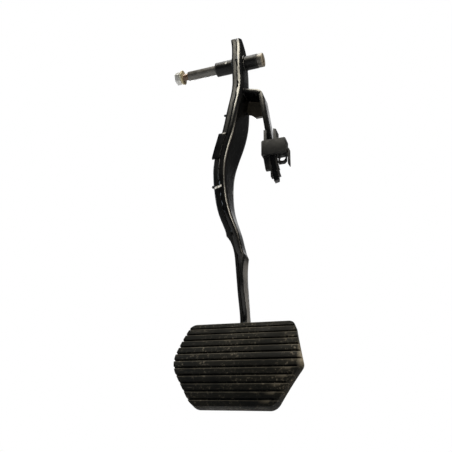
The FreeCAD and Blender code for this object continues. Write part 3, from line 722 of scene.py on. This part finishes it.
# %% Rubbed rib ends
EDGE_SLANT, APEX_HEIGHT = 0.66, -0.342
below_apex = calculate(tree, "SUBTRACT", (split, "Z"), APEX_HEIGHT)
slant = calculate(tree, "MULTIPLY", (below_apex, "Value"), EDGE_SLANT)
to_edge = calculate(tree, "SUBTRACT", (split, "X"), (slant, "Value"))
band_start = spread(tree, to_edge, "Value", 0.0, 1.0, 0.0470, 0.0540)
band_end = spread(tree, to_edge, "Value", 1.0, 0.0, 0.0560, 0.0575)
rubbed_band = calculate(tree, "MULTIPLY", (band_start, "Result"), (band_end, "Result"))
rib_top = spread(tree, on_rib, "Value", 0.0, 0.8, 0.45, 0.80)
rubbed = calculate(tree, "MULTIPLY", (rubbed_band, "Value"), (rib_top, "Result"))
lower_half = spread(tree, split, "Z", 1.0, 0.0, -0.340, -0.334)
rubbed_low = calculate(tree, "MULTIPLY", (rubbed, "Value"), (lower_half, "Result"))
rubbed_face = calculate(tree, "MULTIPLY", (rubbed_low, "Value"), (on_face, "Result"))
used = blend_colour(tree, rubbed_face, "Value", edged, (0.12, 0.105, 0.08))
tree.links.new(used.outputs[2], surface.inputs["Base Color"])
dull = spread(tree, grain, "Change", 0.5, 0.7)
join(tree, dull, "Result", surface, "Roughness")
bump(tree, surface, grain, "Height", 0.3, 0.0006)
wear(rubber, pad)

# %% [markdown]
# The steel plate in the pad shows only from behind. It could wear the arm's coat, but a pressed plate is
# coated thinner, so it gets a plain satin grey-black with a little dust.

# %% Satin plate behind the pad
plate_coat, tree, surface, place = new_finish("satin_plate_coat")
surface.inputs["Specular IOR Level"].default_value = 0.25
grain = effect(tree, grain_group, place, Grain_Size=900.0, Wave_Size=80.0, Waviness=0.4)
dust = effect(tree, dust_group, place, Fleck_Size=500.0, Patch_Size=30.0, Cover=0.5)
base = blend_colour(tree, grain, "Change", (0.010, 0.010, 0.011), (0.022, 0.021, 0.020))
dusty = blend_colour(tree, dust, "Dust", base, (0.12, 0.10, 0.08))
tree.links.new(dusty.outputs[2], surface.inputs["Base Color"])
satin = spread(tree, grain, "Change", 0.35, 0.5)
join(tree, satin, "Result", surface, "Roughness")
bump(tree, surface, grain, "Height", 0.15, 0.0004)
wear(plate_coat, nodes["pedal_plate"])

# %% [markdown]
# The clip and the bushes are moulded plastic: matte, with a fine spark-eroded grain.

# %% Moulded plastic
plastic, tree, surface, place = new_finish("moulded_grey_plastic")
surface.inputs["Specular IOR Level"].default_value = 0.30
grain = effect(tree, grain_group, place, Grain_Size=2200.0, Wave_Size=150.0, Waviness=0.2)
dust = effect(tree, dust_group, place, Fleck_Size=900.0, Patch_Size=80.0, Cover=0.3)
base = blend_colour(tree, grain, "Change", (0.0058, 0.0063, 0.0069), (0.0098, 0.0102, 0.0110))
dusty = blend_colour(tree, dust, "Dust", base, (0.16, 0.15, 0.13))
tree.links.new(dusty.outputs[2], surface.inputs["Base Color"])
matte = spread(tree, grain, "Change", 0.45, 0.6)
join(tree, matte, "Result", surface, "Roughness")
bump(tree, surface, grain, "Height", 0.2, 0.0003)
wear(plastic, clip, nodes["bush_left"], nodes["bush_right"])

# %% [markdown]
# The sleeve is bare turned steel, gone brown-grey with age. Turning leaves rings round the axis,
# which a noise squeezed along the axis gives, and rust shows in patches.

# %% Turned bare steel
turned_steel, tree, surface, place = new_finish("aged_turned_steel")
grain = effect(tree, grain_group, place, Grain_Size=900.0, Wave_Size=140.0, Waviness=0.5)
rings = effect(tree, scratch_group, place, Stretch=(2600.0, 30.0, 30.0))
dust = effect(tree, dust_group, place, Fleck_Size=420.0, Patch_Size=90.0, Cover=0.9)
base = blend_colour(tree, grain, "Change", (0.10, 0.096, 0.088), (0.17, 0.163, 0.15))
ringed = blend_colour(tree, rings, "Scratch", base, (0.30, 0.28, 0.25))
rusty = blend_colour(tree, dust, "Dust", ringed, (0.11, 0.062, 0.034))
split = axes_of(tree, place)
# Painted light: the collar's right end face is painted pale cream, standing for the light it catches.
lit_end_face = spread(tree, split, "X", 0.0, 0.7, 0.0262, 0.0278)
lit_end_painted = blend_colour(tree, lit_end_face, "Result", rusty, (0.29, 0.25, 0.19))
tree.links.new(lit_end_painted.outputs[2], surface.inputs["Base Color"])
bare = spread(tree, dust, "Patches", 0.6, 0.3, 0.0, 1.0)
join(tree, bare, "Result", surface, "Metallic")
rough = spread(tree, grain, "Change", 0.34, 0.52)
join(tree, rough, "Result", surface, "Roughness")
bump(tree, surface, rings, "Scratch", 0.15, 0.0002)
wear(turned_steel, sleeve)

# %% [markdown]
# The bolt is zinc plated: bright grey with a warm yellow cast on the flange, and its bare shank,
# which shows between the flange and the sleeve, has rusted brown.

# %% Zinc plated bolt
zinc, tree, surface, place = new_finish("zinc_plated_bolt")
grain = effect(tree, grain_group, place, Grain_Size=1200.0, Wave_Size=200.0, Waviness=0.5)
dust = effect(tree, dust_group, place, Fleck_Size=600.0, Patch_Size=160.0, Cover=0.5)
split = axes_of(tree, place)
shank = spread(tree, split, "X", 0.0, 1.0, -0.0718, -0.0710)
flange = spread(tree, split, "X", 0.0, 1.0, -0.0750, -0.0738)
head = blend_colour(tree, grain, "Change", (0.62, 0.62, 0.60), (0.72, 0.72, 0.70))
warm = blend_colour(tree, flange, "Result", head, (0.52, 0.46, 0.31))
rust = blend_colour(tree, shank, "Result", warm, (0.13, 0.075, 0.042))
dirty = blend_colour(tree, dust, "Dust", rust, (0.10, 0.07, 0.045))
tree.links.new(dirty.outputs[2], surface.inputs["Base Color"])
plated = spread(tree, shank, "Result", 0.45, 0.2, 0.0, 1.0)
join(tree, plated, "Result", surface, "Metallic")
rough = spread(tree, grain, "Change", 0.25, 0.42)
join(tree, rough, "Result", surface, "Roughness")
bump(tree, surface, grain, "Height", 0.12, 0.0002)
wear(zinc, bolt)

# %% [markdown]
# The floor is a plain pale sheet under the hanging pedal. The camera sees it pale, and so do the gloss
# and the metal that mirror it. To all other light it is darker, so that it throws little light up
# into the shade under the pedal. Its shadows stay.

# %% Floor
def mirrored_rays(tree):
    """The kinds of ray, and a mask for those that a gloss or a glass sends out."""
    rays = add_node(tree, "ShaderNodeLightPath")
    return rays, calculate(tree, "MAXIMUM", (rays, "Is Glossy Ray"), (rays, "Is Transmission Ray"))


clear_selection()
bpy.ops.mesh.primitive_plane_add(size=2.6, location=(0, 0, -0.52))
floor = bpy.context.object
floor.name = "pale_floor"
floor_paint, tree, surface, place = new_finish("pale_floor_paint")
surface.inputs["Roughness"].default_value = 0.8
rays, mirrored = mirrored_rays(tree)
shown = calculate(tree, "MAXIMUM", (rays, "Is Camera Ray"), (mirrored, "Value"))
seen = blend_colour(tree, shown, "Value", (0.32, 0.32, 0.32), (0.80, 0.80, 0.80))
tree.links.new(seen.outputs[2], surface.inputs["Base Color"])
floor.data.materials.append(floor_paint)
print("floor", floor.name)

# %% [markdown]
# The world is the white backdrop. A world at full strength would light the pedal from everywhere and
# wash out its black, so it lights the pedal faintly and only the camera sees it white all round.
# Gloss and metal mirror it white where it stands behind the pedal, as a sheet in a studio does.

# %% World
BACKDROP_SPREAD = math.radians(27.0)
world = bpy.data.worlds.new("white_studio")
bpy.context.scene.world = world
world.use_nodes = True
tree = world.node_tree
background = tree.nodes["Background"]
background.inputs["Color"].default_value = (1.0, 1.0, 1.0, 1.0)
towards = add_node(tree, "ShaderNodeTexCoord")
facing = add_node(tree, "ShaderNodeVectorMath", operation="DOT_PRODUCT")
join(tree, towards, "Generated", facing, 0)
facing.inputs[1].default_value = CAMERA_FORWARD
on_sheet = calculate(tree, "GREATER_THAN", (facing, "Value"), math.cos(BACKDROP_SPREAD))
rays, mirrored = mirrored_rays(tree)
mirrored_sheet = calculate(tree, "MULTIPLY", (mirrored, "Value"), (on_sheet, "Value"))
shown = calculate(tree, "MAXIMUM", (rays, "Is Camera Ray"), (mirrored_sheet, "Value"))
backdrop = add_node(tree, "ShaderNodeMapRange", To_Min=0.05, To_Max=1.0)
join(tree, shown, "Value", backdrop, "Value")
join(tree, backdrop, "Result", background, "Strength")
print("world", world.name)

# %% [markdown]
# Seven soft boxes light the pedal. The right one makes the thin bright line on the arm's bend, and a
# wider, dimmer one beside it lets that line fade out. The front one puts a broad light on the top of
# the right shell, the back one lights the bar's right side, a cool one on the left and one behind
# fill the shade, and the top one gives the pad its soft light.

# %% Lights
def soft_box(name, place, aim, size, power, colour):
    clear_selection()
    bpy.ops.object.light_add(type="AREA", location=place)
    lamp = bpy.context.object
    lamp.name = name
    lamp.data.shape = "RECTANGLE"
    lamp.data.size, lamp.data.size_y = size
    lamp.data.energy = power
    lamp.data.color = colour
    lamp.rotation_euler = (Vector(aim) - Vector(place)).to_track_quat("-Z", "Y").to_euler()
    print(name, power, "W")


MIDDLE = (0.0, 0.0, -0.2)
soft_box("right_box", (1.25, -0.5, 0.24), MIDDLE, (0.22, 0.28), 7.6, (1.0, 0.92, 0.76))
soft_box("right_glow", (1.3, 0.05, 0.30), MIDDLE, (0.7, 0.35), 4.6, (1.0, 0.90, 0.74))
soft_box("front_box", (-0.05, -0.33, 0.37), (0, -0.012, 0), (0.2, 0.1), 1.6, (1.0, 0.93, 0.76))
soft_box("back_box", (0.47, 1.40, 0.07), (0, 0, -0.28), (0.3, 0.2), 0.16, (1.0, 0.93, 0.82))
soft_box("left_box", (-1.4, -0.15, 0.2), MIDDLE, (0.5, 1.0), 7.0, (0.80, 0.90, 1.0))
soft_box("top_box", (0.0, -0.3, 1.4), MIDDLE, (1.0, 1.0), 26.0, (1.0, 0.98, 0.95))
soft_box("back_fill", (-0.9, 1.2, 0.5), MIDDLE, (0.8, 0.8), 14.0, (1.0, 1.0, 1.0))
bpy.context.scene.view_settings.view_transform = "Standard"

# %% [markdown]
